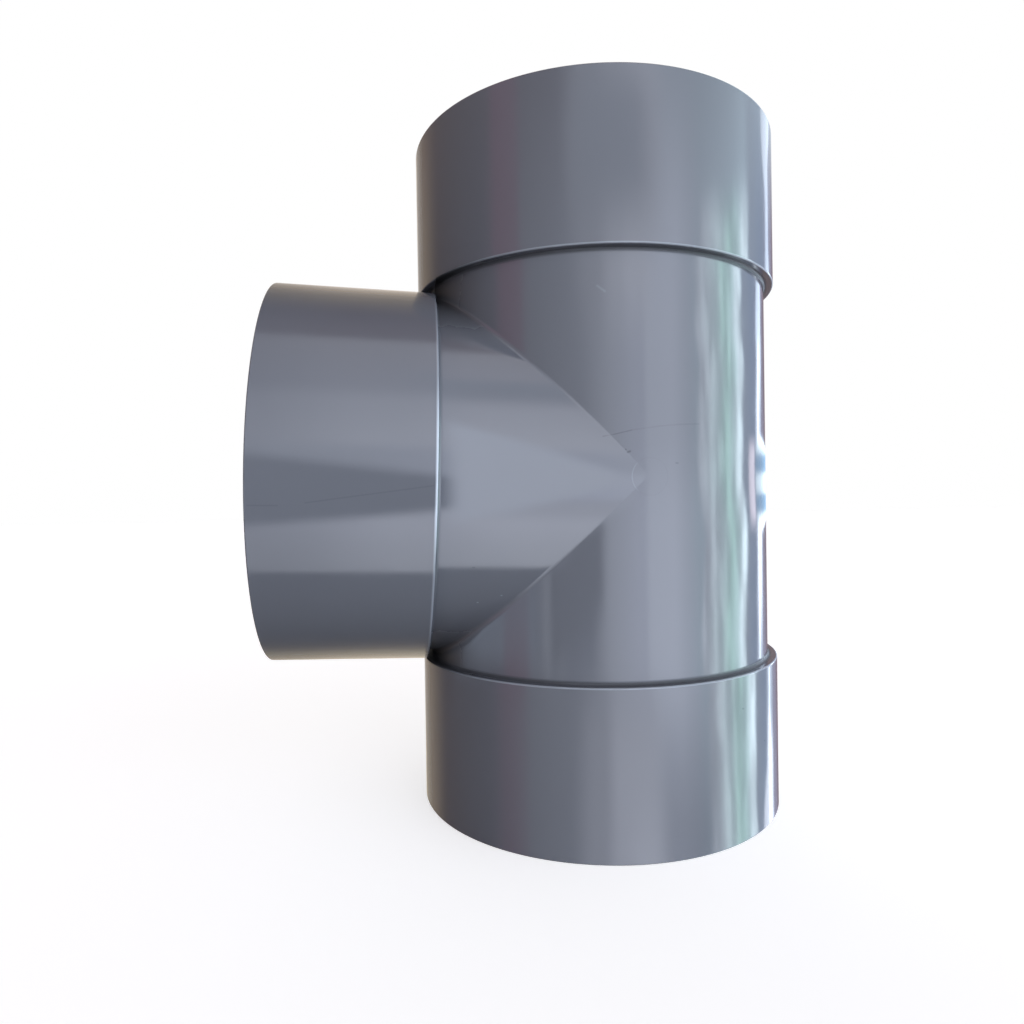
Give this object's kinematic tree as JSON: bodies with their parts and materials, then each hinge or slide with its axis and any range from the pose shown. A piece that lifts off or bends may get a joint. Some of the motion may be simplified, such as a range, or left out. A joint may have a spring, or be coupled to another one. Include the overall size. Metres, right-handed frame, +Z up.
{
  "type": "pvc drain tee",
  "caption": "Equal 88 degree drain tee in grey PVC, moulded in one piece, with plain glue sockets for 125 mm pipe.",
  "frame": {"origin": "centre of the lower socket's mouth, on the run's axis", "axes": "+Z up along the run's axis to the upper socket, the branch towards -X and leaning 2 degrees up, +Y across both axes"},
  "size_m": [0.1851, 0.1326, 0.2382],
  "materials": {
    "grey_pvc": "glossy moulded"
  },
  "bodies": {
    "root": {"tee": "grey_pvc"}
  },
  "joints": []
}
